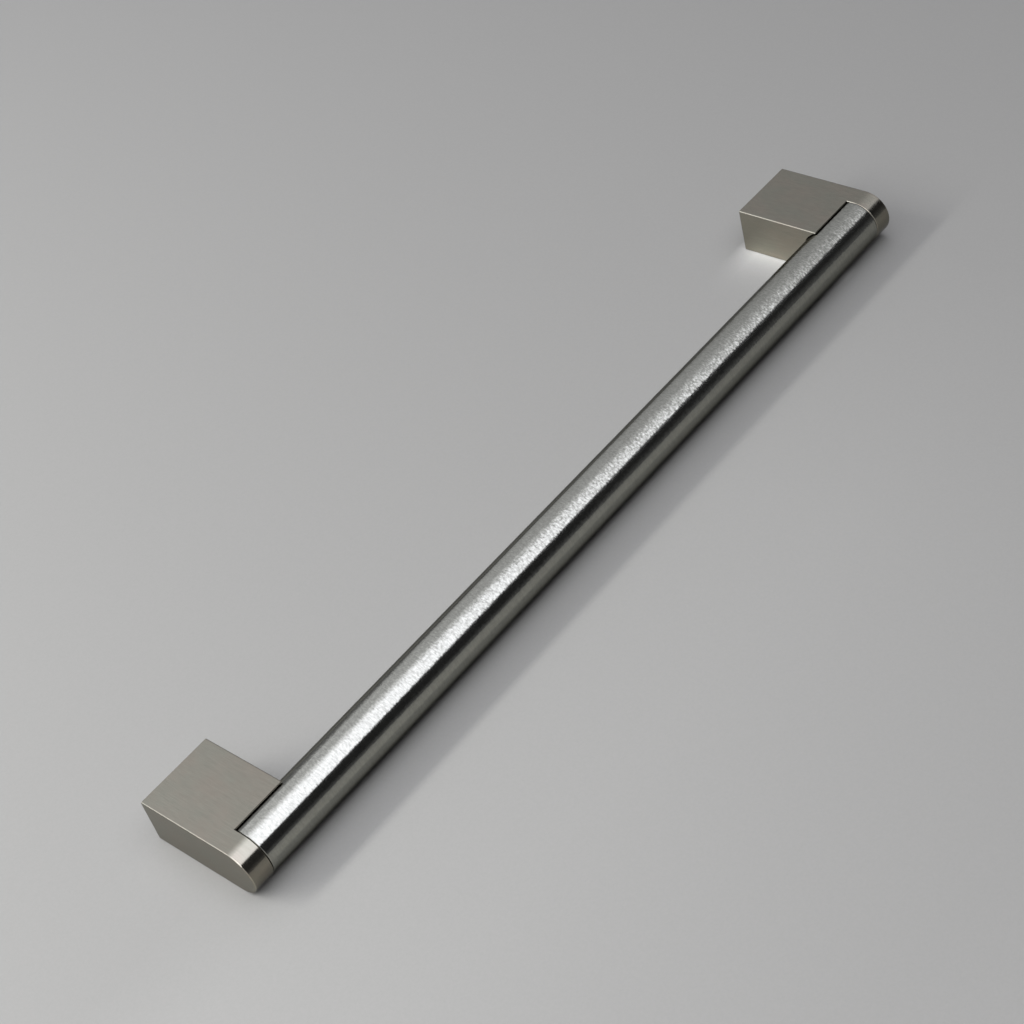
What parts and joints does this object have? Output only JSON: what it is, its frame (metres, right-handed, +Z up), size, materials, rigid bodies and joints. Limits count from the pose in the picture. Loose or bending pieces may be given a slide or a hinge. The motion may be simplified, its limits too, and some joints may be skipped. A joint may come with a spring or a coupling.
{
  "type": "door pull handle",
  "caption": "Bar pull handle: a round brushed tube trapped between rectangular cast feet with half-round noses, screwed on from behind the door.",
  "frame": {"origin": "on the door face, midway between the two screw holes", "axes": "+X along the bar, +Y into the door, +Z up across the bar; the handle stands out towards -Y and rests on the flat lower sides of its feet"},
  "size_m": [0.2794, 0.0378, 0.0144],
  "materials": {
    "satin_nickel": "satin nickel plated zinc casting, fine grain running from the door to the nose",
    "brushed_stainless": "stainless tube brushed round its girth"
  },
  "bodies": {
    "root": {"left_foot": "satin_nickel", "right_foot": "satin_nickel", "bar_tube": "brushed_stainless"}
  },
  "joints": []
}
